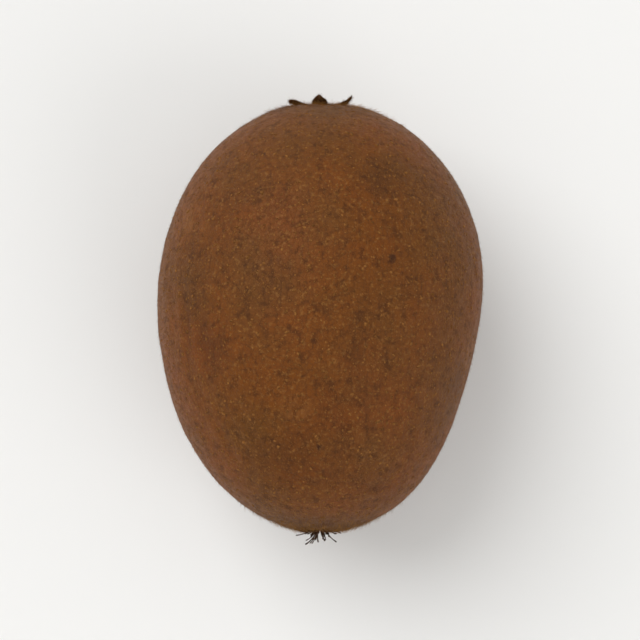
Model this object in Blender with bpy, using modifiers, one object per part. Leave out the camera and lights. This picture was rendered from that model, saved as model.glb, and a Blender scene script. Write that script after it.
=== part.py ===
"""A golden kiwi fruit lying on its side, in metres, +Z up.

The fruit is one plump, egg-like solid. Its broad stalk end points along +Y and its slimmer
blossom end along -Y, and it lies on a small flat spot. The dried calyx, which is the stalk scar
with five withered sepals, sits in the hollow at the stalk end. The dried styles of the flower
stand in the small crater at the blossom end.
"""

import math
import random

import bmesh
import bpy
from mathutils import Matrix, Vector
from mathutils.bvhtree import BVHTree

# Driving dimensions of the fruit, in metres
LENGTH = 0.076
WIDTH = 0.0585
HEIGHT = 0.0545
FLAT_SPOT_DEPTH = 0.0005
AXIS_HEIGHT = HEIGHT / 2

# Profile: the roundness of each end (1 is an ellipse, less is fuller), and how far the girth
# leans towards the stalk end
STALK_ROUNDNESS = 1.0
BLOSSOM_ROUNDNESS = 0.88
SHOULDER = 0.045

# The +X side is straighter towards the blossom end: share taken off, place and spread
SIDE_FLAT = 0.075
SIDE_FLAT_PLACE = -0.40
SIDE_FLAT_SPREAD = 0.62

# Soft lumps: share of the radius, lobes round the fruit, turn, and twist along its length
SOFT_LUMPS = ((0.006, 2, 0.8, 0.9), (0.006, 3, 2.2, -1.3), (0.0035, 5, 0.5, 2.4))

# Ends: the hollow round the stalk scar, the low tip at the blossom end and its crater
HOLLOW_DEPTH, HOLLOW_RADIUS = 0.0019, 0.0047
TIP_RISE, TIP_RADIUS = 0.0006, 0.0060
CRATER_DEPTH, CRATER_RADIUS = 0.0012, 0.0022

# Mesh of the fruit: faces round it and along it, and how far the rings crowd to the ends
ROUND_STEPS = 72
LONG_STEPS = 46
END_CROWDING = 0.55

# The dried flower parts stay this far clear of the skin
GAP = 0.0003

# Calyx: the scar's woody button and the withered sepals round it
SCAR_RADIUS = 0.0021
SCAR_HEIGHT = 0.0010
SEPALS = 5
SEPAL_LENGTH = 0.0048
SEPAL_WIDTH = 0.0030
SEPAL_THICKNESS = 0.0006
SEPAL_ROOT = 0.0011
SEPAL_CURL = (0.0001, 0.0010)
SEPAL_CUP = 0.0003

# Styles: the withered tuft on its small disc, in three rings that lean further out each
DISC_RADIUS = 0.0010
DISC_HEIGHT = 0.0009
STYLES = 24
STYLE_LENGTH = 0.0030
STYLE_ROOT_RADIUS = 0.00028
STYLE_TIP_RADIUS = 0.00014
STYLE_SIDES = 5
STYLE_LEANS = (50, 66, 79)
LEAN_SPREAD = 4

BUTTON_SIDES = 20
BUTTON_TAPER = 0.86
SEED = 11


def linear(hex_colour):
    """An sRGB hex colour as linear red, green, blue and alpha."""
    channels = [int(hex_colour[i : i + 2], 16) / 255 for i in (1, 3, 5)]
    return [c / 12.92 if c <= 0.04045 else ((c + 0.055) / 1.055) ** 2.4 for c in channels] + [1]


def make_material(name, hex_colour, roughness):
    """A plain Principled material; none of the fruit's surfaces is metal."""
    material = bpy.data.materials.new(name)
    material.use_nodes = True
    shader = material.node_tree.nodes["Principled BSDF"]
    shader.inputs["Base Color"].default_value = linear(hex_colour)
    shader.inputs["Roughness"].default_value = roughness
    shader.inputs["Metallic"].default_value = 0
    return material


def add_object(name, bm, collection, material):
    """The bmesh as a smooth-shaded object at the origin, with its place in its mesh."""
    mesh = bpy.data.meshes.new(name)
    bmesh.ops.recalc_face_normals(bm, faces=bm.faces)
    bm.to_mesh(mesh)
    bm.free()
    mesh.shade_smooth()
    mesh.set_sharp_from_angle(angle=math.radians(40))
    mesh.materials.append(material)
    part = bpy.data.objects.new(name, mesh)
    collection.objects.link(part)
    return part


def bell(distance, radius):
    """A smooth bump of height 1, about as wide as its radius."""
    return math.exp(-((distance / radius) ** 2))


def crowd_to_ends(down):
    """Moves a ring's angle so that the rings lie closer together near both ends."""
    return down - END_CROWDING * math.sin(2 * down) / 2


def skin_point(around, down):
    """A point of the skin, before the fruit is fitted to its sizes.

    around is the angle about the long axis, from +X towards +Z. down runs from 0 at the stalk
    pole to pi at the blossom pole.
    """
    along = math.cos(down)
    belly = math.sin(down) ** 2
    roundness = BLOSSOM_ROUNDNESS + (STALK_ROUNDNESS - BLOSSOM_ROUNDNESS) * (1 + along) / 2
    girth = math.sin(down) ** roundness * (1 + SHOULDER * along)
    for share, lobes, turn, twist in SOFT_LUMPS:
        girth *= 1 + share * belly * math.sin(lobes * around + turn + twist * along)
    facing = (0.5 + 0.5 * math.cos(around)) ** 2
    girth *= 1 - SIDE_FLAT * facing * bell(along - SIDE_FLAT_PLACE, SIDE_FLAT_SPREAD)
    x = WIDTH / 2 * girth * math.cos(around)
    z = HEIGHT / 2 * girth * math.sin(around)
    off_axis = math.hypot(x, z)
    y = LENGTH / 2 * along
    if along > 0:
        y -= HOLLOW_DEPTH * bell(off_axis, HOLLOW_RADIUS)
    else:
        y -= TIP_RISE * bell(off_axis, TIP_RADIUS)
        y += CRATER_DEPTH * bell(off_axis, CRATER_RADIUS)
    return Vector((x, y, z))


def fit_to_sizes(bm):
    """Scales the fruit to its three sizes, centred on the origin in plan, flat spot at z = 0."""
    low = Vector([min(v.co[i] for v in bm.verts) for i in range(3)])
    high = Vector([max(v.co[i] for v in bm.verts) for i in range(3)])
    wanted = Vector((WIDTH, LENGTH, HEIGHT + FLAT_SPOT_DEPTH))
    scale = [wanted[i] / (high[i] - low[i]) for i in range(3)]
    bmesh.ops.translate(bm, verts=bm.verts, vec=-(low + high) / 2)
    bmesh.ops.scale(bm, verts=bm.verts, vec=scale)
    bmesh.ops.translate(bm, verts=bm.verts, vec=(0, 0, wanted.z / 2 - FLAT_SPOT_DEPTH))


def cut_flat_spot(bm):
    """Takes off what is below z = 0 and closes the fruit with the flat spot it lies on."""
    bmesh.ops.bisect_plane(
        bm,
        geom=bm.verts[:] + bm.edges[:] + bm.faces[:],
        plane_co=(0, 0, 0),
        plane_no=(0, 0, -1),
        clear_outer=True,
    )
    rim = [edge for edge in bm.edges if edge.is_boundary]
    bmesh.ops.holes_fill(bm, edges=rim, sides=0)


def make_fruit(collection, material):
    """The fruit. Returns a search tree of its surface, for placing the dried flower parts."""
    bm = bmesh.new()
    bmesh.ops.create_uvsphere(
        bm,
        u_segments=ROUND_STEPS,
        v_segments=LONG_STEPS,
        radius=1,
        matrix=Matrix.Rotation(-math.pi / 2, 4, "X"),
    )
    for vert in bm.verts:
        around = math.atan2(vert.co.z, vert.co.x)
        down = math.acos(max(-1, min(1, vert.co.y)))
        vert.co = skin_point(around, crowd_to_ends(down))
    fit_to_sizes(bm)
    cut_flat_spot(bm)
    surface = BVHTree.FromBMesh(bm)
    add_object("fruit", bm, collection, material)
    return surface


def skin_reach(surface, end, x, z):
    """How far the skin lies from the fruit's middle beside the long axis; end is +1 or -1."""
    start = Vector((x, end * LENGTH, AXIS_HEIGHT + z))
    return end * surface.ray_cast(start, Vector((0, -end, 0)))[0].y


def seat_reach(surface, end, radius):
    """Where a round button of this radius clears the skin by the gap all along its rim."""
    turns = [math.tau * i / BUTTON_SIDES for i in range(BUTTON_SIDES)]
    rim = [skin_reach(surface, end, radius * math.cos(t), radius * math.sin(t)) for t in turns]
    return max(rim) + GAP


def make_button(name, end, seat, radius, height, collection, material):
    """A low round button on the long axis, with its foot at the seat and facing outwards."""
    bm = bmesh.new()
    bmesh.ops.create_cone(
        bm,
        cap_ends=True,
        segments=BUTTON_SIDES,
        radius1=radius,
        radius2=BUTTON_TAPER * radius,
        depth=height,
        matrix=Matrix.Translation((0, end * (seat + height / 2), AXIS_HEIGHT))
        @ Matrix.Rotation(-end * math.pi / 2, 4, "X"),
    )
    return add_object(name, bm, collection, material)


def sepal_half_width(share):
    """Half the sepal's width, from its root at 0 to its pointed tip at 1."""
    return SEPAL_WIDTH / 2 * (0.62 + 0.75 * share) * (1 - share**2.2) + 0.00018


def make_sepal(name, angle, length, curl, surface, collection, material):
    """One withered sepal: a thin blade that climbs out of the hollow and lies back on the skin."""
    bm = bmesh.new()
    bmesh.ops.create_grid(bm, x_segments=2, y_segments=5, size=1)
    for vert in bm.verts:
        share = (vert.co.y + 1) / 2
        across = vert.co.x
        out = SEPAL_ROOT + length * share
        side = sepal_half_width(share) * across
        x = out * math.cos(angle) - side * math.sin(angle)
        z = out * math.sin(angle) + side * math.cos(angle)
        lift = GAP + SEPAL_THICKNESS + curl * share**2 + SEPAL_CUP * across**2 * share
        vert.co = (x, skin_reach(surface, 1, x, z) + lift, AXIS_HEIGHT + z)
    blade = add_object(name, bm, collection, material)
    wall = blade.modifiers.new("Thickness", "SOLIDIFY")
    wall.thickness = SEPAL_THICKNESS
    wall.offset = 0
    soften = blade.modifiers.new("Soften", "SUBSURF")
    soften.levels = soften.render_levels = 1


def make_style(name, angle, lean, length, root, collection, material):
    """One dried style: a slim tapered thread that leans out from the blossom end's axis."""
    out = math.sin(lean)
    thread = Vector((out * math.cos(angle), -math.cos(lean), out * math.sin(angle)))
    middle = Vector((0, root, AXIS_HEIGHT)) + thread * (DISC_RADIUS + length) / 2
    bm = bmesh.new()
    bmesh.ops.create_cone(
        bm,
        cap_ends=True,
        segments=STYLE_SIDES,
        radius1=STYLE_ROOT_RADIUS,
        radius2=STYLE_TIP_RADIUS,
        depth=length,
        matrix=Matrix.Translation(middle) @ thread.to_track_quat("Z", "Y").to_matrix().to_4x4(),
    )
    add_object(name, bm, collection, material)


def fuse(core, twigs):
    """Joins every object of a collection to the core with one Boolean union, and removes them."""
    union = core.modifiers.new("Fuse", "BOOLEAN")
    union.operation = "UNION"
    union.operand_type = "COLLECTION"
    union.collection = twigs
    union.solver = "EXACT"
    bpy.context.view_layer.update()
    graph = bpy.context.evaluated_depsgraph_get()
    joined = bpy.data.meshes.new_from_object(core.evaluated_get(graph))
    core.modifiers.clear()
    core.data = joined
    for twig in list(twigs.objects):
        bpy.data.objects.remove(twig)
    bpy.data.collections.remove(twigs)


def new_collection(name):
    """An empty collection in the scene."""
    collection = bpy.data.collections.new(name)
    bpy.context.scene.collection.children.link(collection)
    return collection


def make_calyx(surface, collection, material):
    """The stalk scar's button with its five sepals, clear of the skin all round."""
    draw = random.Random(SEED)
    seat = seat_reach(surface, 1, SCAR_RADIUS)
    button = make_button("calyx", 1, seat, SCAR_RADIUS, SCAR_HEIGHT, collection, material)
    sepals = new_collection("sepals")
    for i in range(SEPALS):
        angle = math.tau * (i + draw.uniform(-0.12, 0.12)) / SEPALS + 0.3
        length = SEPAL_LENGTH * draw.uniform(0.82, 1.05)
        curl = draw.uniform(*SEPAL_CURL)
        make_sepal(f"sepal_{i}", angle, length, curl, surface, sepals, material)
    fuse(button, sepals)


def make_styles(surface, collection, material):
    """The tuft of dried styles on its disc, clear of the crater's wall."""
    draw = random.Random(SEED)
    seat = seat_reach(surface, -1, DISC_RADIUS)
    disc = make_button("styles", -1, seat, DISC_RADIUS, DISC_HEIGHT, collection, material)
    threads = new_collection("threads")
    root = -(seat + 0.6 * DISC_HEIGHT)
    for i in range(STYLES):
        angle = math.tau * (i + draw.uniform(-0.3, 0.3)) / STYLES
        lean = STYLE_LEANS[i % len(STYLE_LEANS)] + draw.uniform(-LEAN_SPREAD, LEAN_SPREAD)
        length = STYLE_LENGTH * draw.uniform(0.7, 1.0)
        make_style(f"style_{i}", angle, math.radians(lean), length, root, threads, material)
    fuse(disc, threads)


def main():
    for leftover in list(bpy.data.objects):
        bpy.data.objects.remove(leftover)
    collection = new_collection("golden kiwi fruit")
    surface = make_fruit(collection, make_material("golden-brown skin", "#6f4523", 0.55))
    make_calyx(surface, collection, make_material("withered calyx", "#54391f", 0.85))
    make_styles(surface, collection, make_material("dried styles", "#2c1e14", 0.9))


main()
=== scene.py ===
"""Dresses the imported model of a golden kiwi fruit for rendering.

The fruit lies on its side, with its stalk end towards +Y and its blossom end towards -Y. Every
piece here is finer than the plain solid that it stands for and keeps that solid's form: the peel
with its lenticels and down, the stalk scar with its withered sepals, and the dried styles and
stamens. Sizes are in metres, unless a name or a comment says millimetres.
"""

import math
import random

import bmesh
import bpy
from bpy.props import FloatProperty, FloatVectorProperty, IntProperty, PointerProperty
from mathutils import Matrix, Vector, noise
from mathutils.bvhtree import BVHTree


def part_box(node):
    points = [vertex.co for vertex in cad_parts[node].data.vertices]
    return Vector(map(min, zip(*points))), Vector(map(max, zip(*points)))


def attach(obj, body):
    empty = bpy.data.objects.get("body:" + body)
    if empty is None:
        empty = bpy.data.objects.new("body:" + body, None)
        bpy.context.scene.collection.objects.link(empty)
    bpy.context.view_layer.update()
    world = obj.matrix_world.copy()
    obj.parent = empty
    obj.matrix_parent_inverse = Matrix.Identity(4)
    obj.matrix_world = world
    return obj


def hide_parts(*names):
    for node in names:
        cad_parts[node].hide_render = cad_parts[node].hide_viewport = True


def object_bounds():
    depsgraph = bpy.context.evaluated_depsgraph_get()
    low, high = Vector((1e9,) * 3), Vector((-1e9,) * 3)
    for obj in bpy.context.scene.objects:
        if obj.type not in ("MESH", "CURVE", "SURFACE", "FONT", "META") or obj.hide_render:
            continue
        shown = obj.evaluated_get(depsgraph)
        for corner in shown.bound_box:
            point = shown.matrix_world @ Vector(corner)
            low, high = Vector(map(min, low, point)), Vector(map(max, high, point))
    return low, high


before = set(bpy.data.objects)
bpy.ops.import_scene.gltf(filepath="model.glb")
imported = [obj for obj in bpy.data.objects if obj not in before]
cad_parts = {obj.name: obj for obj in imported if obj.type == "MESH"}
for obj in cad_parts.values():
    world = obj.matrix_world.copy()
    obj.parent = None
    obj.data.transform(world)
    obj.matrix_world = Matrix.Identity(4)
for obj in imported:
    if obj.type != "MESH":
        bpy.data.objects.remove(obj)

bl_info = {
    "name": "Golden kiwi fruit",
    "version": (1, 0, 0),
    "blender": (4, 5, 0),
    "location": "3D View > Sidebar > Kiwi fruit",
    "description": "Dresses the packed model of a golden kiwi fruit lying on its side",
    "category": "Object",
}

MM = 0.001

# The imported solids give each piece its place
CAD_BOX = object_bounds()
FRUIT_LOW, FRUIT_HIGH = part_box("fruit")
STALK_END, BLOSSOM_END = 1, -1
AXIS_HEIGHT = FRUIT_HIGH.z / 2

# The fruit's form, as its solid has it: the roundness of each end, the fuller shoulder towards
# the stalk end, the straighter +X side, soft lumps, and the shape of both ends
LENGTH, WIDTH, HEIGHT = 76 * MM, 58.5 * MM, 54.5 * MM
FLAT_SPOT_DEPTH = 0.5 * MM
STALK_ROUNDNESS, BLOSSOM_ROUNDNESS = 1.0, 0.88
SHOULDER = 0.045
SIDE_FLAT, SIDE_FLAT_PLACE, SIDE_FLAT_SPREAD = 0.075, -0.40, 0.62
SOFT_LUMPS = ((0.006, 2, 0.8, 0.9), (0.006, 3, 2.2, -1.3), (0.0035, 5, 0.5, 2.4))
HOLLOW_DEPTH, HOLLOW_RADIUS = 1.9 * MM, 4.7 * MM
TIP_RISE, TIP_RADIUS = 0.6 * MM, 6.0 * MM
CRATER_DEPTH, CRATER_RADIUS = 1.2 * MM, 2.2 * MM

# The peel's relief: the widths of its bumps in millimetres, and how many ribs go round it
SWELL_WIDTH, GRAIN_WIDTH, PEBBLE_WIDTH = 13, 3.0, 1.25
RIBS = 31

# The folds in a ring round each end: how many, their sway in radians and its width, and the
# ring's radius and width, with these in millimetres
STALK_FOLDS = (15, 2.4, 5, 4.6, 2.4)
BLOSSOM_FOLDS = (12, 2.2, 4, 3.2, 1.8)

# Shallow dents of the peel: around, down, radius and depth, in radians and millimetres
DENTS = (
    (1.15, 0.98, 3.4, 0.16),
    (2.30, 1.75, 4.2, 0.20),
    (0.40, 1.90, 3.0, 0.14),
    (1.90, 2.30, 2.6, 0.12),
    (3.60, 1.20, 4.0, 0.18),
    (5.30, 1.60, 3.6, 0.16),
)

# Marks on the peel: around, down and radius, in radians and millimetres
RUBS = (
    (2.55, 1.15, 4.5),
    (0.25, 1.75, 5.0),
    (3.70, 1.60, 6.0),
    (5.00, 1.10, 4.0),
    (1.75, 2.05, 3.6),
)
BLEMISHES = (
    (1.14, 1.36, 0.9),
    (2.05, 0.80, 0.6),
    (1.60, 2.25, 0.7),
    (3.30, 1.25, 0.9),
    (4.10, 2.05, 0.7),
    (5.70, 1.90, 0.8),
    (0.20, 1.20, 0.6),
)

# The stalk scar's turned outline, as shares of its radius and height, from its sunk foot in
SCAR_OUTLINE = (
    (1.08, -0.9),
    (1.12, -0.2),
    (1.10, 0.35),
    (1.03, 0.75),
    (0.94, 0.97),
    (0.84, 1.0),
    (0.74, 0.88),
    (0.62, 0.70),
    (0.48, 0.60),
    (0.34, 0.60),
    (0.20, 0.68),
    (0.09, 0.76),
    (0.0, 0.78),
)
RIM_PLACES = 24

# Specks and hairs are rooted no lower than these heights, and no part of them is below the gap
SPECK_CLEARANCE, HAIR_CLEARANCE, FLOOR_GAP = 0.6 * MM, 0.8 * MM, 0.1 * MM

# How far hairs and styles are sunk into what they grow from, how wide the tuft of styles is at
# its foot, and how near to a pole specks and hairs go, in radians
HAIR_DEPTH, STYLE_DEPTH = 0.03 * MM, 0.3 * MM
TUFT_RADIUS = 0.9 * MM
POLE_MARGIN = 0.03

# The turn from one point to the next along a spiral that covers a ball evenly
GOLDEN_ANGLE = math.pi * (3 - math.sqrt(5))

# Input and output numbers of the Mix node when it mixes colours
MIX_FACTOR, MIX_A, MIX_B, MIX_RESULT = 0, 6, 7, 2


def linear_colour(hex_colour):
    """Turn an sRGB hex colour into linear red, green and blue."""
    shares = [int(hex_colour[i : i + 2], 16) / 255 for i in (1, 3, 5)]
    return [s / 12.92 if s <= 0.04045 else ((s + 0.055) / 1.055) ** 2.4 for s in shares]


def bell(distance, radius):
    """Return a smooth bump of height 1, about as wide as its radius."""
    return math.exp(-((distance / radius) ** 2))


def plain_form(around, down):
    """Return a point of the fruit's plain form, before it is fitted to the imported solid.

    around is the angle about the long axis, from +X towards +Z. down runs from 0 at the stalk
    pole to pi at the blossom pole.
    """
    along = math.cos(down)
    level = max(math.sin(down), 0)
    roundness = BLOSSOM_ROUNDNESS + (STALK_ROUNDNESS - BLOSSOM_ROUNDNESS) * (1 + along) / 2
    girth = level**roundness * (1 + SHOULDER * along)
    for share, lobes, turn, twist in SOFT_LUMPS:
        girth *= 1 + share * level**2 * math.sin(lobes * around + turn + twist * along)
    # The +X side is straighter than the other
    facing = (0.5 + 0.5 * math.cos(around)) ** 2
    girth *= 1 - SIDE_FLAT * facing * bell(along - SIDE_FLAT_PLACE, SIDE_FLAT_SPREAD)
    x = WIDTH / 2 * girth * math.cos(around)
    z = HEIGHT / 2 * girth * math.sin(around)
    # A hollow at the stalk end, and a crater in a raised tip at the blossom end
    off_axis = math.hypot(x, z)
    y = LENGTH / 2 * along
    if along > 0:
        y -= HOLLOW_DEPTH * bell(off_axis, HOLLOW_RADIUS)
    else:
        y -= TIP_RISE * bell(off_axis, TIP_RADIUS)
        y += CRATER_DEPTH * bell(off_axis, CRATER_RADIUS)
    return Vector((x, y, z))


def fit_to_solid():
    """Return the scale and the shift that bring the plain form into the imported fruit's box."""
    rounds, rows = 144, 92
    sample = [
        plain_form(math.tau * i / rounds, math.pi * j / rows)
        for i in range(rounds)
        for j in range(rows + 1)
    ]
    low = Vector([min(point[k] for point in sample) for k in range(3)])
    high = Vector([max(point[k] for point in sample) for k in range(3)])
    box_low = FRUIT_LOW - Vector((0, 0, FLAT_SPOT_DEPTH))
    scale = Vector([(FRUIT_HIGH[k] - box_low[k]) / (high[k] - low[k]) for k in range(3)])
    return scale, box_low - low * scale


FORM_SCALE, FORM_SHIFT = fit_to_solid()


def fitted_form(around, down):
    """Return a point of the fruit's form in its place, still without any relief."""
    return plain_form(around, down) * FORM_SCALE + FORM_SHIFT


DENT_PLACES = [(fitted_form(around, down), radius, depth) for around, down, radius, depth in DENTS]


def peel_relief(point, around, down, settings):
    """Return how far the peel stands out of the plain form at a point."""
    spot = point / MM
    level = math.sin(down)
    off_axis = math.hypot(spot.x, spot.z - AXIS_HEIGHT / MM)
    relief = settings.swell_height * noise.noise(spot / SWELL_WIDTH)
    relief += settings.grain_height * noise.noise(spot / GRAIN_WIDTH)
    relief += settings.pebble_height * noise.noise(spot / PEBBLE_WIDTH)
    # The ribs wander and come and go, and are strongest round the middle
    drift = 1.6 * noise.noise(spot / 16)
    ribs = math.sin(RIBS * around + 5 * drift) * (0.6 + drift)
    relief += settings.rib_height * level**2 * ribs
    nearest_folds = STALK_FOLDS if math.cos(down) > 0 else BLOSSOM_FOLDS
    count, sway, sway_width, ring, ring_width = nearest_folds
    folds = math.cos(count * around + sway * noise.noise(spot / sway_width))
    relief += settings.pucker_height * folds * bell(off_axis - ring, ring_width)
    for place, radius, depth in DENT_PLACES:
        relief -= depth * MM * bell((point - place).length / MM, radius)
    return relief


def peel_point(around, down, settings):
    """Return a point of the finished peel and its relief there."""
    smooth = fitted_form(around, down)
    relief = peel_relief(smooth, around, down, settings)
    # The way out of a plain ellipsoid of the fruit's width, length and height
    z = smooth.z - AXIS_HEIGHT
    outward = Vector((smooth.x / WIDTH**2, smooth.y / LENGTH**2, z / HEIGHT**2)).normalized()
    point = smooth + outward * relief
    point.z = max(point.z, 0)
    return point, relief


def peel_frame(around, down, settings):
    """Return a point of the peel, the way out of it and the way along it to the blossom end."""
    step = 0.004
    # Near a pole it takes a larger turn to go as far round the fruit as a step goes along it
    turn = step / max(math.sin(down), 0.05)
    point = peel_point(around, down, settings)[0]
    lengthwise = (peel_point(around, down + step, settings)[0] - point).normalized()
    crosswise = peel_point(around + turn, down, settings)[0] - point
    outward = crosswise.cross(lengthwise).normalized()
    if outward.dot(point - Vector((0, 0, AXIS_HEIGHT))) < 0:
        outward.negate()
    return point, outward, lengthwise


def spread_over_peel(count, scatter, draw):
    """Return even places on the peel, each as around and down, moved a little at random."""
    spacing = math.sqrt(4 * math.pi / count)
    places = []
    for i in range(count):
        down = math.acos(1 - 2 * (i + 0.5) / count)
        down += scatter * spacing * draw.uniform(-0.5, 0.5)
        down = min(max(down, POLE_MARGIN), math.pi - POLE_MARGIN)
        around = i * GOLDEN_ANGLE + scatter * spacing * draw.uniform(-0.5, 0.5) / math.sin(down)
        places.append((around % math.tau, down))
    return places


def finish_piece(name, mesh, material, node):
    """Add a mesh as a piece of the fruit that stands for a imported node."""
    mesh.shade_smooth()
    mesh.materials.append(material)
    piece = bpy.data.objects.new(name, mesh)
    bpy.context.scene.collection.objects.link(piece)
    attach(piece, "root")
    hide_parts(node)
    return piece


def mesh_from(bm, name):
    """Turn a bmesh into a mesh and free it."""
    mesh = bpy.data.meshes.new(name)
    bm.to_mesh(mesh)
    bm.free()
    return mesh


def rod_shape(sides, tip, cuts=0):
    """Return a rod along Z, 1 long, 1 across at its foot and tip across at its top, with cuts."""
    bm = bmesh.new()
    bmesh.ops.create_cone(bm, cap_ends=True, segments=sides, radius1=0.5, radius2=tip / 2, depth=1)
    bmesh.ops.translate(bm, verts=bm.verts, vec=(0, 0, 0.5))
    if cuts:
        lengthwise = [edge for edge in bm.edges if len({vert.co.z for vert in edge.verts}) == 2]
        bmesh.ops.subdivide_edges(bm, edges=lengthwise, cuts=cuts)
    return bm


def planted(name, shape, places, draw, ragged=0.0):
    """Return one mesh that repeats a small shape, once for each matrix of its places.

    ragged is how far a corner of the shape strays at random, before it is put in its place.
    """
    size = len(shape.verts)
    pattern = mesh_from(shape, name + " pattern")
    bm = bmesh.new()
    for _ in places:
        bm.from_mesh(pattern)
    for index, vert in enumerate(bm.verts):
        corner = vert.co
        if ragged:
            corner = corner + Vector([draw.uniform(-ragged, ragged) for _ in range(3)])
        vert.co = places[index // size] @ corner
        vert.co.z = max(vert.co.z, FLOOR_GAP)
    bpy.data.meshes.remove(pattern)
    return mesh_from(bm, name)


def place_matrix(origin, side, up, sizes):
    """Return the matrix that scales a shape, turns its X to side and its Z to up, and moves it."""
    turn = Matrix((side, up.cross(side), up)).transposed().to_4x4()
    return Matrix.Translation(origin) @ turn @ Matrix.Diagonal((*sizes, 1))


def peel_surface():
    """Return a search tree of the finished peel, for pieces that are set on it."""
    peel = bpy.data.objects.get("peel")
    if peel is None:
        raise RuntimeError("Make the peel before the pieces that are set on it")
    return BVHTree.FromPolygons(
        [vert.co for vert in peel.data.vertices],
        [face.vertices for face in peel.data.polygons],
    )


def peel_reach(surface, end, x, z):
    """Return the peel's Y beside the long axis, at the stalk end or the blossom end."""
    start = Vector((x, end * LENGTH, AXIS_HEIGHT + z))
    return surface.ray_cast(start, Vector((0, -end, 0)))[0].y


def fill_inputs(material, node, inputs):
    """Give a node's inputs their values, or link them where the value is another's output."""
    for name, value in inputs.items():
        if isinstance(value, bpy.types.NodeSocket):
            material.node_tree.links.new(value, node.inputs[name])
        else:
            node.inputs[name].default_value = value


def add_node(material, kind, settings=None, inputs=None, stops=()):
    """Add a shader node with its settings, inputs and colour stops, and return its outputs."""
    node = material.node_tree.nodes.new("ShaderNode" + kind)
    for name, value in (settings or {}).items():
        setattr(node, name, value)
    fill_inputs(material, node, inputs or {})
    # A colour ramp starts with a stop at each end, so the two outer stops are given first
    for i, (position, colour) in enumerate(stops):
        elements = node.color_ramp.elements
        stop = elements[i] if i < len(elements) else elements.new(position)
        stop.position = position
        stop.color = (*colour, 1)
    return node.outputs


def new_material(name):
    """Add a material and return it with its Principled shader."""
    material = bpy.data.materials.new(name)
    material.use_nodes = True
    return material, material.node_tree.nodes["Principled BSDF"]


def per_size(size_mm):
    """Return the texture scale that draws features of a size in millimetres."""
    return 1 / (size_mm * MM)


def peel_patterns(material):
    """Return what the peel's colour is made of: each pattern's output, by its name."""
    place = add_node(material, "TexCoord")["Object"]
    lengthwise = add_node(
        material, "Mapping", inputs={"Vector": place, "Scale": (1, 0.13, 1)}
    )["Vector"]

    # Each pattern's coordinates, size in millimetres, detail and roughness
    noises = {
        "patches": (place, 14, 3, 0.55),
        "mottles": (place, 1.5, 4, 0.62),
        "flecks": (place, 0.6, 2, 0.5),
        "streaks": (lengthwise, 0.8, 3, 0.6),
        "bends": (place, 1.4, 4, 0.65),
        "grain": (place, 0.35, 3, 0.6),
    }
    patterns = {}
    for name, (vector, size_mm, detail, roughness) in noises.items():
        inputs = {
            "Vector": vector,
            "Scale": per_size(size_mm),
            "Detail": detail,
            "Roughness": roughness,
        }
        outputs = add_node(material, "TexNoise", inputs=inputs)
        patterns[name] = outputs["Fac"]
        patterns[name + " wander"] = outputs["Color"]

    # A net of wavy cracks between cells of 0.9 mm, about twice the real size so that it shows
    wavy = add_node(
        material,
        "VectorMath",
        {"operation": "MULTIPLY_ADD"},
        {0: patterns["flecks wander"], 1: (0.9 * MM,) * 3, 2: place},
    )["Vector"]
    cells = add_node(
        material,
        "TexVoronoi",
        {"feature": "DISTANCE_TO_EDGE"},
        {"Vector": wavy, "Scale": per_size(0.9), "Randomness": 1},
    )["Distance"]
    patterns["cracks"] = add_node(
        material, "MapRange", inputs={"Value": cells, "From Min": 0.09, "From Max": 0.0}
    )["Result"]

    # The peel's height over the plain form, in millimetres
    patterns["relief"] = add_node(material, "Attribute", {"attribute_name": "relief"})["Fac"]

    # Coordinates that give single marks ragged outlines, bent by up to about 1 mm
    shifted = add_node(
        material, "VectorMath", {"operation": "SUBTRACT"}, {0: place, 1: (MM,) * 3}
    )["Vector"]
    patterns["ragged place"] = add_node(
        material,
        "VectorMath",
        {"operation": "MULTIPLY_ADD"},
        {0: patterns["bends wander"], 1: (2 * MM,) * 3, 2: shifted},
    )["Vector"]
    return patterns


def peel_marks(material, settings, streaks):
    """Return the round marks: each one's middle, radius, core, colour and the colour's share.

    The core is the share of the radius within which the mark is at its strongest.
    """
    # A leaf or a twig that brushed the fruit wore it in streaks
    worn = add_node(
        material,
        "MapRange",
        inputs={"Value": streaks, "From Min": 0.58, "From Max": 0.42, "To Max": 0.34},
    )["Result"]
    rubs = [
        (fitted_form(around, down), radius * MM, 0.2, settings.rub_colour, worn)
        for around, down, radius in RUBS
    ]
    blemishes = [
        (fitted_form(around, down), radius * MM, 0.5, settings.blemish_colour, 0.80)
        for around, down, radius in BLEMISHES
    ]
    ends = [
        ((0, y, AXIS_HEIGHT), 12 * MM, 0.25, settings.end_colour, 0.75)
        for y in (FRUIT_HIGH.y, FRUIT_LOW.y)
    ]
    return rubs + blemishes + ends


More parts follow.
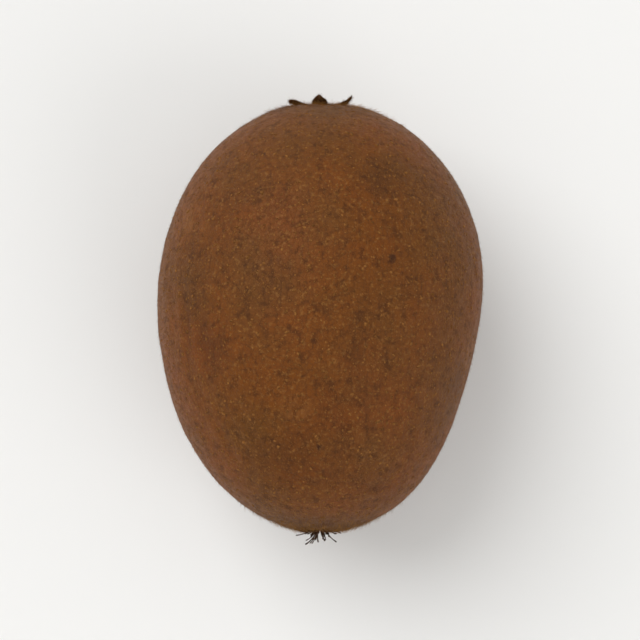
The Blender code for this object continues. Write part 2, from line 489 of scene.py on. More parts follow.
def grown_kiwi_peel(settings):
    """Kiwi fruit peel, grown: a thin corky skin over green-gold flesh.

    Its dead outer cells give a soft, dry, leathery look with a low sheen. The colour is broken
    into rusty and dull patches, fine mottles, faint lengthwise streaks and a net of tiny cracks,
    with painted shade in the low places of its relief.
    """
    material, shader = new_material("Kiwi peel, grown")
    patterns = peel_patterns(material)

    # Layers over the ground colour: a value, where it starts and is full, a colour and its share.
    # Painted shade darkens the low places of the relief
    layers = [
        (patterns["mottles"], 0.50, 0.66, settings.dark_colour, 0.55),
        (patterns["flecks"], 0.55, 0.72, settings.light_colour, 0.45),
        (patterns["streaks"], 0.52, 0.70, settings.dark_colour, 0.35),
        (patterns["cracks"], 0, 1, settings.dark_colour, 0.30),
        # Painted shade: the lower the relief, the darker the peel
        (patterns["relief"], -0.02, -0.22, settings.dark_colour, 0.45),
    ]
    marks = peel_marks(material, settings, patterns["streaks"])
    for middle, radius, core, mark_colour, share in marks:
        away = add_node(
            material,
            "VectorMath",
            {"operation": "DISTANCE"},
            {0: patterns["ragged place"], 1: middle},
        )["Value"]
        layers.append((away, radius, core * radius, mark_colour, share))

    colour = add_node(
        material,
        "ValToRGB",
        inputs={"Fac": patterns["patches"]},
        stops=(
            (0.30, settings.dull_colour),
            (0.70, settings.rust_colour),
            (0.50, settings.main_colour),
        ),
    )["Color"]
    for value, start, full, layer_colour, share in layers:
        amount = add_node(
            material,
            "MapRange",
            inputs={"Value": value, "From Min": start, "From Max": full, "To Max": share},
        )["Result"]
        colour = add_node(
            material,
            "Mix",
            {"data_type": "RGBA"},
            {MIX_FACTOR: amount, MIX_A: colour, MIX_B: (*layer_colour, 1)},
        )[MIX_RESULT]

    # Dark mottles are duller than the rest, and the cracks are sunk into a fine grain
    duller = {"From Min": 0.3, "From Max": 0.7, "To Min": 0.44, "To Max": 0.62}
    roughness = add_node(
        material, "MapRange", inputs={"Value": patterns["mottles"], **duller}
    )["Result"]
    height = add_node(
        material,
        "Math",
        {"operation": "MULTIPLY_ADD"},
        {0: patterns["cracks"], 1: -0.45, 2: patterns["grain"]},
    )["Value"]
    bump = add_node(
        material, "Bump", inputs={"Height": height, "Strength": 0.7, "Distance": 0.11 * MM}
    )["Normal"]
    fill_inputs(
        material,
        shader,
        {
            "Base Color": colour,
            "Roughness": roughness,
            "Normal": bump,
            "IOR": 1.45,
            "Specular IOR Level": 0.18,
            "Sheen Weight": 0.11,
            "Sheen Roughness": 0.45,
            "Sheen Tint": (*settings.light_colour, 1),
        },
    )
    return material


def speckled_material(name, colours, speck_mm, roughness, bump_mm):
    """Return a dry, dull plant material whose colour drifts between two tones in fine specks.

    Dead plant cells scatter light and hold air, so none of these has more than a trace of gloss.
    """
    material, shader = new_material(name)
    place = add_node(material, "TexCoord")["Object"]
    specks = add_node(
        material,
        "TexNoise",
        inputs={"Vector": place, "Scale": per_size(speck_mm), "Detail": 4, "Roughness": 0.6},
    )["Fac"]
    colour = add_node(
        material,
        "ValToRGB",
        inputs={"Fac": specks},
        stops=((0.36, colours[0]), (0.64, colours[1])),
    )["Color"]
    bump = add_node(
        material, "Bump", inputs={"Height": specks, "Strength": 0.7, "Distance": bump_mm * MM}
    )["Normal"]
    fill_inputs(
        material,
        shader,
        {
            "Base Color": colour,
            "Roughness": roughness,
            "Normal": bump,
            "Specular IOR Level": 0.15,
        },
    )
    return material


def colour_property(name, description, hex_colour):
    """Return a colour property whose default is an sRGB hex colour."""
    return FloatVectorProperty(
        name=name,
        description=description,
        default=linear_colour(hex_colour),
        subtype="COLOR",
        size=3,
        min=0,
        max=1,
    )


def count_property(name, description, default):
    """Return a property for how many there are of something, at least one."""
    return IntProperty(name=name, description=description, default=default, min=1)


def length_property(name, description, default_mm):
    """Return a length property whose default is given in millimetres."""
    return FloatProperty(
        name=name,
        description=description,
        default=default_mm * MM,
        subtype="DISTANCE",
        unit="LENGTH",
        precision=6,
    )


class PeelSettings(bpy.types.PropertyGroup):
    """Sizes and colours of the peel and its lenticels."""

    faces_round: count_property("Faces round", "Faces round the fruit", 350)
    faces_along: count_property("Faces along", "Faces along the fruit", 276)
    swell_height: length_property("Swell height", "Height of the broad swells", 0.16)
    grain_height: length_property("Grain height", "Height of the leathery grain", 0.07)
    pebble_height: length_property("Pebble height", "Height of the finest relief", 0.034)
    rib_height: length_property("Rib height", "Height of the faint lengthwise ribs", 0.035)
    pucker_height: length_property("Pucker height", "Height of the folds round both ends", 0.13)
    main_colour: colour_property("Main colour", "Golden brown of most of the peel", "#6c3c0e")
    dull_colour: colour_property("Dull colour", "Duller brown patches", "#623b11")
    rust_colour: colour_property("Rust colour", "Rusty orange-brown patches", "#753d0c")
    dark_colour: colour_property("Dark colour", "Dark mottles, streaks and cracks", "#3c1f0a")
    light_colour: colour_property("Light colour", "Light flecks and sheen", "#926531")
    end_colour: colour_property("End colour", "Peel close to both ends", "#442711")
    rub_colour: colour_property("Rub colour", "Dry, corky rubs", "#8a5c30")
    blemish_colour: colour_property("Blemish colour", "Small dark blemishes", "#331a0a")
    lenticel_count: count_property("Lenticels", "Number of corky specks", 8600)
    lenticel_dark_colour: colour_property("Lenticels, dark", "Darkest cork specks", "#603b16")
    lenticel_light_colour: colour_property("Lenticels, light", "Lightest cork specks", "#8c5c2b")


class DownSettings(bpy.types.PropertyGroup):
    """Number, size and colours of the hairs on the peel."""

    count: count_property("Hairs", "Short hairs all over", 42000)
    length: length_property("Length", "Longest of the short hairs", 0.72)
    thickness: length_property(
        "Thickness", "A hair's width at its root, wider than a real one so that it shows", 0.036
    )
    end_count: count_property("End hairs", "Longer bent hairs round each end", 5200)
    end_length: length_property("End length", "Longest of the hairs round both ends", 1.2)
    dark_colour: colour_property("Dark colour", "Darkest hairs", "#6f4824")
    light_colour: colour_property("Light colour", "Lightest hairs", "#ab793b")


class CalyxSettings(bpy.types.PropertyGroup):
    """Sizes and colours of the stalk scar and the withered sepals."""

    scar_radius: length_property("Scar radius", "Radius of the stalk scar's rim", 2.1)
    scar_height: length_property("Scar height", "Height of the scar's rim above the peel", 0.9)
    sepals: count_property("Sepals", "Number of withered sepals", 5)
    sepal_length: length_property("Sepal length", "Length of the longest sepal", 5.2)
    sepal_width: length_property("Sepal width", "Width of a sepal", 3.2)
    sepal_thickness: length_property("Sepal thickness", "Thickness of a withered sepal", 0.16)
    sepal_dark_colour: colour_property("Sepals, dark", "Darkest parts of the sepals", "#301a0c")
    sepal_light_colour: colour_property("Sepals, light", "Lightest parts of the sepals", "#573618")
    felt_hairs: count_property("Felt hairs", "Short hairs for each sepal", 1200)
    felt_dark_colour: colour_property("Felt, dark", "Darkest hairs on the sepals", "#573819")
    felt_light_colour: colour_property("Felt, light", "Lightest hairs on the sepals", "#916635")


class FlowerSettings(bpy.types.PropertyGroup):
    """Number and size of the dried styles and stamens."""

    styles: count_property("Styles", "Number of dried styles", 44)
    style_length: length_property("Style length", "Length of the longest style", 4.4)
    style_dark_colour: colour_property("Styles, dark", "Darkest parts of the styles", "#21140a")
    style_light_colour: colour_property("Styles, light", "Lightest parts of the styles", "#523418")
    stamens: count_property("Stamens", "Number of stamen stubs", 44)
    stamen_length: length_property("Stamen length", "Length of the longest stamen stub", 2.2)
    stamen_dark_colour: colour_property("Stamens, dark", "Darkest parts of the stubs", "#2e1d10")
    stamen_light_colour: colour_property("Stamens, light", "Lightest parts of the stubs", "#6a4a2a")


class StageSettings(bpy.types.PropertyGroup):
    """Camera, lights and floor."""

    elevation: FloatProperty(
        name="Elevation",
        description="The camera's angle above the horizon",
        default=math.radians(86.5),
        subtype="ANGLE",
        unit="ROTATION",
    )
    lens: FloatProperty(
        name="Lens",
        description="The camera's focal length, in mm of its 36 mm sensor",
        default=150,
        subtype="DISTANCE_CAMERA",
    )
    share_of_picture: FloatProperty(
        name="Share of picture",
        description="Share of the picture's height that the fruit fills",
        default=0.70,
        subtype="FACTOR",
    )
    floor_colour: colour_property("Floor colour", "Pale matt floor", "#efefee")
    key_strength: FloatProperty(
        name="Key strength", description="Strength of the main skylight", default=1.5
    )
    fill_strength: FloatProperty(
        name="Fill strength", description="Strength of the second skylight", default=0.62
    )
    skylight_width: FloatProperty(
        name="Skylight width",
        description="How wide the skylights look from the fruit",
        default=math.radians(48),
        subtype="ANGLE",
        unit="ROTATION",
    )
    room_light: FloatProperty(
        name="Room light", description="Strength of the even light from all round", default=0.64
    )


class KIWI_OT_peel(bpy.types.Operator):
    """Make the fine peel in place of the plain fruit"""

    bl_idname = "kiwi.peel"
    bl_label = "Make the peel"

    def execute(self, context):
        settings = context.scene.kiwi_peel
        bm = bmesh.new()
        bmesh.ops.create_uvsphere(
            bm,
            u_segments=settings.faces_round,
            v_segments=settings.faces_along,
            radius=1,
            matrix=Matrix.Rotation(-math.pi / 2, 4, "X"),
        )
        relief_layer = bm.verts.layers.float.new("relief")
        for vert in bm.verts:
            around = math.atan2(vert.co.z, vert.co.x)
            down = math.acos(max(-1, min(1, vert.co.y)))
            vert.co, relief = peel_point(around, down, settings)
            vert[relief_layer] = relief / MM
        bmesh.ops.recalc_face_normals(bm, faces=bm.faces)
        mesh = mesh_from(bm, "peel")
        finish_piece("peel", mesh, grown_kiwi_peel(settings), "fruit")
        return {"FINISHED"}


class KIWI_OT_lenticels(bpy.types.Operator):
    """Set the corky lenticels into the peel"""

    bl_idname = "kiwi.lenticels"
    bl_label = "Make the lenticels"

    def execute(self, context):
        settings = context.scene.kiwi_peel
        draw = random.Random(21)
        shape = bmesh.new()
        bmesh.ops.create_icosphere(shape, subdivisions=1, radius=1)
        places = []
        for around, down in spread_over_peel(settings.lenticel_count, 1.0, draw):
            point, outward, lengthwise = peel_frame(around, down, settings)
            if point.z < SPECK_CLEARANCE:
                continue
            turn = Matrix.Rotation(draw.uniform(0, math.pi), 3, outward)
            side = (turn @ lengthwise).cross(outward)
            # Most are 0.15 to 0.4 mm across, and a few are up to 0.7 mm
            radius = (draw.uniform(0.07, 0.18) + 0.18 * draw.random() ** 4) * MM
            sizes = (radius, radius * draw.uniform(1.0, 1.8), 0.19 * radius)
            places.append(place_matrix(point, side, outward, sizes))
        # Cork is full of air, so the specks are paler than the peel and quite matt
        colours = settings.lenticel_dark_colour, settings.lenticel_light_colour
        cork = speckled_material(
            "Lenticel cork, grown", colours, speck_mm=0.9, roughness=0.75, bump_mm=0.03
        )
        mesh = planted("lenticels", shape, places, draw, ragged=0.28)
        finish_piece("lenticels", mesh, cork, "fruit")
        return {"FINISHED"}


class KIWI_OT_down(bpy.types.Operator):
    """Grow the short down all over the peel and the longer hairs round both ends"""

    bl_idname = "kiwi.down"
    bl_label = "Grow the down"

    def execute(self, context):
        settings = context.scene.kiwi_down
        draw = random.Random(22)
        # Dried hairs are hollow and let light through, so they are paler and silkier than the peel
        colours = settings.dark_colour, settings.light_colour
        hair = speckled_material(
            "Down, dried on the fruit", colours, speck_mm=2.5, roughness=0.6, bump_mm=0.01
        )
        spots = spread_over_peel(settings.count, 2.0, draw)
        places = self.hair_places(context.scene, spots, (32, 80), settings.length, draw)
        mesh = planted("down", rod_shape(3, 0), places, draw)
        finish_piece("down", mesh, hair, "fruit")

        # The longest hair bends sideways by 0.28 of its length
        bent = rod_shape(3, 0.2, cuts=1)
        for vert in bent.verts:
            vert.co.y += 0.28 * vert.co.z**2 * settings.end_length / settings.thickness
        spots = self.end_spots(settings.end_count, draw)
        places = self.hair_places(context.scene, spots, (15, 70), settings.end_length, draw)
        mesh = planted("end_down", bent, places, draw)
        finish_piece("end_down", mesh, hair, "fruit")
        return {"FINISHED"}

    def end_spots(self, count, draw):
        """Give as many spots round each end, each as around and down, closest near the pole."""
        for end in (STALK_END, BLOSSOM_END):
            for _ in range(count):
                away = 0.09 + abs(draw.gauss(0, 0.17))
                down = away if end == STALK_END else math.pi - away
                yield draw.uniform(0, math.tau), down

    def hair_places(self, scene, spots, leans, longest, draw):
        """Return the hairs' matrices. Each leans to the blossom end, in degrees between leans."""
        thickness = scene.kiwi_down.thickness
        places = []
        for around, down in spots:
            lean = math.radians(draw.uniform(*leans))
            sizes = (thickness, thickness, longest * draw.uniform(0.4, 1.0))
            point, outward, lengthwise = peel_frame(around, down, scene.kiwi_peel)
            if point.z < HAIR_CLEARANCE:
                continue
            lay = Matrix.Rotation(math.radians(draw.gauss(0, 38)), 3, outward) @ lengthwise
            along = (outward * math.cos(lean) + lay * math.sin(lean)).normalized()
            side = along.cross(outward).normalized()
            places.append(place_matrix(point - outward * HAIR_DEPTH, side, along, sizes))
        return places


class KIWI_OT_stalk_scar(bpy.types.Operator):
    """Turn the corky scar where the stalk broke off"""

    bl_idname = "kiwi.stalk_scar"
    bl_label = "Make the stalk scar"

    def execute(self, context):
        settings = context.scene.kiwi_calyx
        surface = peel_surface()
        bm = self.turned_scar(settings)
        self.tear(bm, settings)
        # The scar is seated on the mean of the peel all round under its rim
        seats = []
        for i in range(RIM_PLACES):
            turn = math.tau * i / RIM_PLACES
            x = settings.scar_radius * math.cos(turn)
            z = settings.scar_radius * math.sin(turn)
            seats.append(peel_reach(surface, STALK_END, x, z))
        seat = sum(seats) / RIM_PLACES
        bmesh.ops.translate(bm, verts=bm.verts, vec=(0, seat, AXIS_HEIGHT))
        mesh = mesh_from(bm, "stalk_scar")
        finish_piece("stalk_scar", mesh, self.torn_cork(), "calyx")
        return {"FINISHED"}

    def turned_scar(self, settings):
        """Return the scar's smooth form: a raised rim round a shallow dish, turned on its axis."""
        bm = bmesh.new()
        verts = [
            bm.verts.new((radius * settings.scar_radius, height * settings.scar_height, 0))
            for radius, height in SCAR_OUTLINE
        ]
        edges = [bm.edges.new(pair) for pair in zip(verts, verts[1:])]
        bmesh.ops.subdivide_edges(bm, edges=edges, cuts=2)
        bmesh.ops.spin(
            bm,
            geom=bm.verts[:] + bm.edges[:],
            axis=(0, 1, 0),
            cent=(0, 0, 0),
            angle=math.tau,
            steps=144,
            use_merge=True,
        )
        bmesh.ops.remove_doubles(bm, verts=bm.verts, dist=0.001 * MM)
        bmesh.ops.holes_fill(bm, edges=[edge for edge in bm.edges if edge.is_boundary], sides=0)
        bmesh.ops.recalc_face_normals(bm, faces=bm.faces)
        return bm

    def tear(self, bm, settings):
        """Make the scar rough, with cracks that run out from its middle and an uneven rim."""
        for vert in bm.verts:
            spot = vert.co / MM
            around = math.atan2(spot.z, spot.x)
            share = math.hypot(spot.x, spot.z) / (settings.scar_radius / MM)
            # A crack opens wherever this slow noise passes through zero
            way = Vector((math.cos(around), math.sin(around), 0.4 * share))
            crack = max(0, 1 - abs(noise.noise(way * 3.3)) / 0.11)
            torn = 0.20 * noise.noise(spot / 0.55) + 0.12 * noise.noise(spot / 0.2)
            vert.co.y += torn * MM * min(1, share * 2)
            vert.co.y -= 0.20 * MM * crack * bell(share - 0.62, 0.34)
            # The rim bulges in a few places and is ragged all round
            swell = 1 + 0.13 * noise.noise(Vector((math.cos(around), math.sin(around), 3)) * 1.7)
            swell += 0.06 * noise.noise(spot / 0.5) + 0.04 * noise.noise(spot / 0.2)
            vert.co.x *= swell
            vert.co.z *= swell

    def torn_cork(self):
        """Stalk scar cork, torn: dry pale cork inside a dark rim, with a ring of sap vessels."""
        material, shader = new_material("Stalk scar cork, torn")
        place = add_node(material, "TexCoord")["Object"]
        off_axis = add_node(
            material,
            "Mapping",
            inputs={"Vector": place, "Scale": (1, 0, 1), "Location": (0, 0, -AXIS_HEIGHT)},
        )["Vector"]
        radius = add_node(material, "VectorMath", {"operation": "LENGTH"}, {0: off_axis})["Value"]
        rough = add_node(
            material,
            "TexNoise",
            inputs={"Vector": place, "Scale": per_size(0.8), "Detail": 6, "Roughness": 0.65},
        )["Fac"]
        wavy = add_node(
            material, "Math", {"operation": "MULTIPLY_ADD"}, {0: rough, 1: 1.5 * MM, 2: radius}
        )["Value"]
        share = add_node(
            material,
            "MapRange",
            inputs={"Value": wavy, "From Min": 0.75 * MM, "From Max": 3.3 * MM},
        )["Result"]
        rings = add_node(
            material,
            "ValToRGB",
            inputs={"Fac": share},
            stops=(
                (0.0, linear_colour("#42280f")),
                (1.0, linear_colour("#3a200c")),
                (0.12, linear_colour("#7d5730")),
                (0.34, linear_colour("#926a3d")),
                (0.45, linear_colour("#5b3a1b")),
                (0.57, linear_colour("#835d33")),
                (0.78, linear_colour("#4c2d13")),
            ),
        )["Color"]
        pits = add_node(
            material,
            "ValToRGB",
            inputs={"Fac": rough},
            stops=((0.35, (0.35, 0.30, 0.26)), (0.60, (1.0, 1.0, 1.0))),
        )["Color"]
        mottled = add_node(
            material,
            "Mix",
            {"data_type": "RGBA", "blend_type": "MULTIPLY"},
            {MIX_FACTOR: 0.7, MIX_A: rings, MIX_B: pits},
        )[MIX_RESULT]
        bump = add_node(
            material, "Bump", inputs={"Height": rough, "Strength": 0.8, "Distance": 0.12 * MM}
        )["Normal"]
        fill_inputs(
            material,
            shader,
            {"Base Color": mottled, "Roughness": 0.85, "Normal": bump, "Specular IOR Level": 0.12},
        )
        return material


class KIWI_OT_sepals(bpy.types.Operator):
    """Lay the withered sepals round the stalk scar"""

    bl_idname = "kiwi.sepals"
    bl_label = "Make the sepals"

    def execute(self, context):
        settings = context.scene.kiwi_calyx
        surface = peel_surface()
        draw = random.Random(11)
        blades = bmesh.new()
        for number in range(settings.sepals):
            self.add_blade(blades, surface, settings, number, draw)
        bmesh.ops.recalc_face_normals(blades, faces=blades.faces)
        bmesh.ops.solidify(blades, geom=blades.faces[:], thickness=settings.sepal_thickness)
        bmesh.ops.recalc_face_normals(blades, faces=blades.faces)
        # Solidify makes the rim's faces in no fixed order, and the felt is drawn from every face
        blades.faces.sort(key=lambda face: face.calc_center_median().x)
        # A withered leaf is like thin brown paper: dry, dull and finely wrinkled
        colours = settings.sepal_dark_colour, settings.sepal_light_colour
        papery = speckled_material(
            "Sepal, withered", colours, speck_mm=0.5, roughness=0.85, bump_mm=0.08
        )
        mesh = mesh_from(blades, "sepals")
        sepals = finish_piece("sepals", mesh, papery, "calyx")
        soften = sepals.modifiers.new("Soften", "SUBSURF")
        soften.levels = soften.render_levels = 1
        return {"FINISHED"}

    def add_blade(self, blades, surface, settings, number, draw):
        """Add one sepal that climbs out of the hollow, lies on the peel and curls up at its tip."""
        angle = math.tau * (number + draw.uniform(-0.12, 0.12)) / settings.sepals + 0.3
        length = settings.sepal_length * draw.uniform(0.84, 1.0)
        curl = draw.uniform(0.2, 0.95)
        bow = draw.uniform(-0.25, 0.25)
        cup = draw.uniform(0.25, 0.75) * MM
        root = 0.75 * settings.scar_radius
        bm = bmesh.new()
        bmesh.ops.create_grid(bm, x_segments=10, y_segments=18, size=1)
        for vert in bm.verts:
            # The outline: widest past the middle, ragged, with a blunt point
            share = (vert.co.y + 1) / 2
            across = vert.co.x
            taper = (0.62 + 0.75 * share) * (1 - share**2.4)
            ragged = 1 + 0.16 * noise.noise(Vector((share * 7, across * 1.5, 5.3 * number)))
            half = settings.sepal_width / 2 * taper * ragged + 0.12 * MM
            # The length, which tilts up more and more towards the tip
            steps = 24
            out, lift = root, 0.0
            for i in range(int(share * steps)):
                tilt = curl * ((i + 1) / steps) ** 2.2
                out += length / steps * math.cos(tilt)
                lift += length / steps * math.sin(tilt)
            side = half * across + bow * length * share**2 * 0.3
            x = out * math.cos(angle) - side * math.sin(angle)
            z = out * math.sin(angle) + side * math.cos(angle)
            # The cupped, crumpled and veined face, which clears the peel by 0.28 mm
            crumple = noise.noise(Vector((across * 1.7, share * 3.5, 9.1 * number)))
            vein = math.cos(across * 3.5 * math.pi) * (1 - share)
            lift += cup * across**2 * share**0.8 + 0.22 * MM * crumple * share
            lift += 0.035 * MM * vein + 0.28 * MM
            y = peel_reach(surface, STALK_END, x, z) + lift
            vert.co = (x, y, AXIS_HEIGHT + z)
        mesh = mesh_from(bm, "blade")
        blades.from_mesh(mesh)
        bpy.data.meshes.remove(mesh)


class KIWI_OT_sepal_felt(bpy.types.Operator):
    """Grow the felt of short hairs on the sepals"""

    bl_idname = "kiwi.sepal_felt"
    bl_label = "Grow the sepal felt"

    def execute(self, context):
        settings = context.scene.kiwi_calyx
        thickness = context.scene.kiwi_down.thickness
        draw = random.Random(12)
        sepals = bpy.data.objects.get("sepals")
        if sepals is None:
            raise RuntimeError("Make the sepals before their felt")
        mesh = sepals.data
        faces = list(mesh.polygons)
        areas = [face.area for face in faces]
        places = []
        for face in draw.choices(faces, areas, k=settings.felt_hairs * settings.sepals):
            corners = [mesh.vertices[index].co for index in face.vertices]
            shares = [draw.random() for _ in corners]
            spot = sum((c * s for c, s in zip(corners, shares)), Vector()) / sum(shares)
            wander = Vector([draw.gauss(0, 0.45) for _ in range(3)])
            outwards = Vector((spot.x, 0, spot.z - AXIS_HEIGHT)).normalized()
            along = (face.normal * 0.75 + outwards * 0.6 + wander).normalized()
            side = along.orthogonal().normalized()
            sizes = (thickness, thickness, draw.uniform(0.25, 0.65) * MM)
            places.append(place_matrix(spot, side, along, sizes))
        # Dried felt is a little paler than the sepal under it and hides its gloss
        colours = settings.felt_dark_colour, settings.felt_light_colour
        felt = speckled_material(
            "Sepal felt, dried", colours, speck_mm=1.2, roughness=0.7, bump_mm=0.01
        )
        mesh = planted("sepal_felt", rod_shape(3, 0), places, draw)
        finish_piece("sepal_felt", mesh, felt, "calyx")
        return {"FINISHED"}


def thread_rings(points):
    """Return the matrix of each ring of a thread: on its point, across its way, of its radius."""
    last = len(points) - 1
    side = None
    rings = []
    for i, (place, radius) in enumerate(points):
        way = (points[min(i + 1, last)][0] - points[max(i - 1, 0)][0]).normalized()
        side = (side - way * side.dot(way) if side else way.orthogonal()).normalized()
        rings.append(place_matrix(place, side, way, (2 * radius, 2 * radius, 0)))
    return rings


def threads_mesh(name, threads, sides):
    """Return one mesh of round threads, each given as as many points with their radii."""
    spans = len(threads[0]) - 1
    pattern = mesh_from(rod_shape(sides, 1, spans - 1), name + " pattern")
    bm = bmesh.new()
    for points in threads:
        rings = thread_rings(points)
        start = len(bm.verts)
        bm.from_mesh(pattern)
        bm.verts.ensure_lookup_table()
        for vert in bm.verts[start:]:
            vert.co = rings[round(vert.co.z * spans)] @ vert.co
    bpy.data.meshes.remove(pattern)
    return mesh_from(bm, name)


class KIWI_OT_dried_styles(bpy.types.Operator):
    """Curl the dried styles out of the crater at the blossom end"""

    bl_idname = "kiwi.dried_styles"
    bl_label = "Make the dried styles"

    def execute(self, context):
        settings = context.scene.kiwi_flower
        surface = peel_surface()
        draw = random.Random(31)
        threads = [
            self.curled_style(surface, settings, number, draw) for number in range(settings.styles)
        ]
        mesh = threads_mesh("dried_styles", threads, 8)
        # Withered flower tissue is shrunk and almost black, with a few browner places
        colours = settings.style_dark_colour, settings.style_light_colour
        blackish = speckled_material(
            "Style, withered", colours, speck_mm=0.6, roughness=0.85, bump_mm=0.04
        )
        finish_piece("dried_styles", mesh, blackish, "styles")
        return {"FINISHED"}

    def curled_style(self, surface, settings, number, draw):
        """Return one style's points and radii. The outer styles lean out the most."""
        place_in_tuft = (number + 0.5) / settings.styles
        turn = number * GOLDEN_ANGLE + draw.uniform(-0.3, 0.3)
        start = TUFT_RADIUS * math.sqrt(place_in_tuft)
        lean = math.radians(8 + 62 * place_in_tuft + draw.uniform(-8, 8))
        droop = draw.uniform(0.25, 1.35)
        sway = draw.uniform(-1.5, 1.5)
        length = settings.style_length * draw.uniform(0.5, 1.0)
        radius = draw.uniform(0.09, 0.15) * MM
        foot = peel_reach(surface, BLOSSOM_END, 0, 0) + STYLE_DEPTH
        place = Vector((start * math.cos(turn), foot, AXIS_HEIGHT + start * math.sin(turn)))
        points = []
        steps = 14
        for k in range(steps + 1):
            share = k / steps
            # It thins out and ends in a small knob, the stigma
            girth = 1 + 0.5 * bell(share - 0.97, 0.05) - 0.35 * share
            points.append((place.copy(), radius * girth))
            tilt = lean + droop * share
            heading = turn + sway * share
            out = math.sin(tilt)
            way = Vector((out * math.cos(heading), -math.cos(tilt), out * math.sin(heading)))
            place = place + way * length / steps
            x, z = place.x, place.z - AXIS_HEIGHT
            place.y = min(place.y, peel_reach(surface, BLOSSOM_END, x, z) - 1.1 * radius)
        # One more, narrow ring rounds off the knob
        points.append((points[-1][0] + way * 0.6 * radius, 0.5 * radius))
        return points


class KIWI_OT_stamen_stubs(bpy.types.Operator):
    """Lay the withered stamen stubs round the styles"""

    bl_idname = "kiwi.stamen_stubs"
    bl_label = "Make the stamen stubs"

    def execute(self, context):
        settings = context.scene.kiwi_flower
        surface = peel_surface()
        draw = random.Random(32)
        threads = [
            self.bowed_stub(surface, settings, number, draw) for number in range(settings.stamens)
        ]
        mesh = threads_mesh("stamen_stubs", threads, 6)
        # Stamens are thinner than styles and dry out to a lighter, strawy brown
        colours = settings.stamen_dark_colour, settings.stamen_light_colour
        dry = speckled_material(
            "Stamen, withered", colours, speck_mm=0.5, roughness=0.75, bump_mm=0.03
        )
        finish_piece("stamen_stubs", mesh, dry, "styles")
        return {"FINISHED"}

    def bowed_stub(self, surface, settings, number, draw):
        """Return one stamen's points and radii. It bows over the peel and ends in an anther."""
        turn = math.tau * (number + draw.uniform(-0.4, 0.4)) / settings.stamens
        out = draw.uniform(1.0, 1.5) * MM
        length = settings.stamen_length * draw.uniform(0.45, 1.0)
        rise = draw.uniform(0.05, 0.5) * MM
        sway = draw.uniform(-0.5, 0.5)
        radius = draw.uniform(0.05, 0.075) * MM
        points = []
        steps = 9
        for k in range(steps + 1):
            share = k / steps
            reach = out + length * share
            x = reach * math.cos(turn + sway * share)
            z = reach * math.sin(turn + sway * share)
            hop = rise * math.sin(math.pi * min(1, share * 1.1)) + 0.3 * rise * share
            y = peel_reach(surface, BLOSSOM_END, x, z) - hop - 0.6 * radius
            girth = 1 + 1.6 * bell(share - 0.93, 0.09)
            points.append((Vector((x, y, AXIS_HEIGHT + z)), radius * girth))
        return points


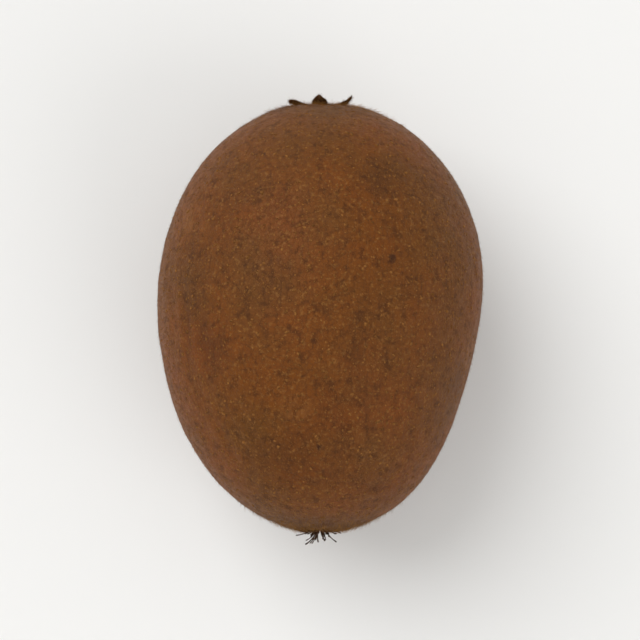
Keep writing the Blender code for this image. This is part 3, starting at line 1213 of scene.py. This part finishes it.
class KIWI_OT_stage(bpy.types.Operator):
    """Set the pale floor, the soft studio light and the camera"""

    bl_idname = "kiwi.stage"
    bl_label = "Set the stage"

    def execute(self, context):
        scene = context.scene
        scene.view_settings.view_transform = "Standard"
        self.lay_floor(scene)
        self.light_room(scene)
        self.place_camera(scene)
        return {"FINISHED"}

    def lay_floor(self, scene):
        """Add the sweep, of matt painted board, which has no gloss to mirror the fruit."""
        floor = bpy.data.objects.new("floor", self.sweep_mesh())
        scene.collection.objects.link(floor)
        board, shader = new_material("Painted board, matt")
        colour = (*scene.kiwi_stage.floor_colour, 1)
        fill_inputs(
            board, shader, {"Base Color": colour, "Roughness": 0.9, "Specular IOR Level": 0.1}
        )
        floor.data.materials.append(board)

    def light_room(self, scene):
        """Add the even light from all round and the two skylights."""
        settings = scene.kiwi_stage
        world = bpy.data.worlds.new("Room")
        scene.world = world
        world.use_nodes = True
        room = world.node_tree.nodes["Background"]
        room.inputs["Color"].default_value = (*linear_colour("#fbfaf8"), 1)
        room.inputs["Strength"].default_value = settings.room_light

        # Wide suns light the whole sweep evenly, so that it looks the same from every side
        skylights = (
            ("Key skylight", (-0.75, 0.70, 1.15), settings.key_strength),
            ("Fill skylight", (0.95, -0.85, 0.85), settings.fill_strength),
        )
        for name, way, strength in skylights:
            light = bpy.data.lights.new(name, "SUN")
            light.energy = strength
            light.angle = settings.skylight_width
            skylight = bpy.data.objects.new(name, light)
            skylight.location = way
            skylight.rotation_euler = Vector(way).to_track_quat("Z", "Y").to_euler()
            scene.collection.objects.link(skylight)

    def place_camera(self, scene):
        """Add the camera, which looks down on the middle of the fruit."""
        settings = scene.kiwi_stage
        middle = (CAD_BOX[0] + CAD_BOX[1]) / 2
        camera = bpy.data.objects.new("Camera", bpy.data.cameras.new("Camera"))
        camera.data.lens = settings.lens
        picture_height = (CAD_BOX[1].y - CAD_BOX[0].y) / settings.share_of_picture
        distance = picture_height * settings.lens / camera.data.sensor_width
        back = Vector((0, -math.cos(settings.elevation), math.sin(settings.elevation)))
        right = Vector((0, 1, 0)).cross(back).normalized()
        up = back.cross(right)
        camera.matrix_world = Matrix.Translation(middle + back * distance) @ (
            Matrix((right, up, back)).transposed().to_4x4()
        )
        scene.collection.objects.link(camera)
        scene.camera = camera

    def sweep_mesh(self):
        """Return a round studio sweep: a flat floor that bends up into a low wall."""
        flat, bend, wall = 2.2, 0.8, 0.5
        outline = [(0, 0), (0.95 * flat, 0)]
        for i in range(13):
            angle = math.pi / 2 * i / 12
            outline.append((flat + bend * math.sin(angle), bend * (1 - math.cos(angle))))
        outline.append((flat + bend, bend + wall))
        bm = bmesh.new()
        verts = [bm.verts.new((out, 0, up)) for out, up in outline]
        edges = [bm.edges.new(pair) for pair in zip(verts, verts[1:])]
        bmesh.ops.spin(
            bm,
            geom=verts + edges,
            axis=(0, 0, 1),
            cent=(0, 0, 0),
            angle=math.tau,
            steps=96,
            use_merge=True,
        )
        bmesh.ops.remove_doubles(bm, verts=bm.verts, dist=MM)
        bmesh.ops.recalc_face_normals(bm, faces=bm.faces)
        # An open sheet has no outside, so its flat middle says whether to turn it face up
        if min(bm.faces, key=lambda face: face.calc_center_median().z).normal.z < 0:
            bmesh.ops.reverse_faces(bm, faces=bm.faces)
        mesh = mesh_from(bm, "floor")
        mesh.shade_smooth()
        return mesh


class KIWI_PT_dressing(bpy.types.Panel):
    """Lists the steps that dress the fruit"""

    bl_label = "Golden kiwi fruit"
    bl_idname = "KIWI_PT_dressing"
    bl_space_type = "VIEW_3D"
    bl_region_type = "UI"
    bl_category = "Kiwi fruit"

    def draw(self, context):
        for operator in OPERATORS:
            self.layout.operator(operator.bl_idname)


SETTINGS = {
    "kiwi_peel": PeelSettings,
    "kiwi_down": DownSettings,
    "kiwi_calyx": CalyxSettings,
    "kiwi_flower": FlowerSettings,
    "kiwi_stage": StageSettings,
}
OPERATORS = (
    KIWI_OT_peel,
    KIWI_OT_lenticels,
    KIWI_OT_down,
    KIWI_OT_stalk_scar,
    KIWI_OT_sepals,
    KIWI_OT_sepal_felt,
    KIWI_OT_dried_styles,
    KIWI_OT_stamen_stubs,
    KIWI_OT_stage,
)


def register():
    for group in (*SETTINGS.values(), *OPERATORS, KIWI_PT_dressing):
        bpy.utils.register_class(group)
    for name, group in SETTINGS.items():
        setattr(bpy.types.Scene, name, PointerProperty(type=group))


def unregister():
    for name in SETTINGS:
        delattr(bpy.types.Scene, name)
    for group in reversed((*SETTINGS.values(), *OPERATORS, KIWI_PT_dressing)):
        bpy.utils.unregister_class(group)


def main():
    """Make every piece and the stage."""
    register()
    for operator in OPERATORS:
        family, name = operator.bl_idname.split(".")
        getattr(getattr(bpy.ops, family), name)()


if __name__ == "__main__":
    main()
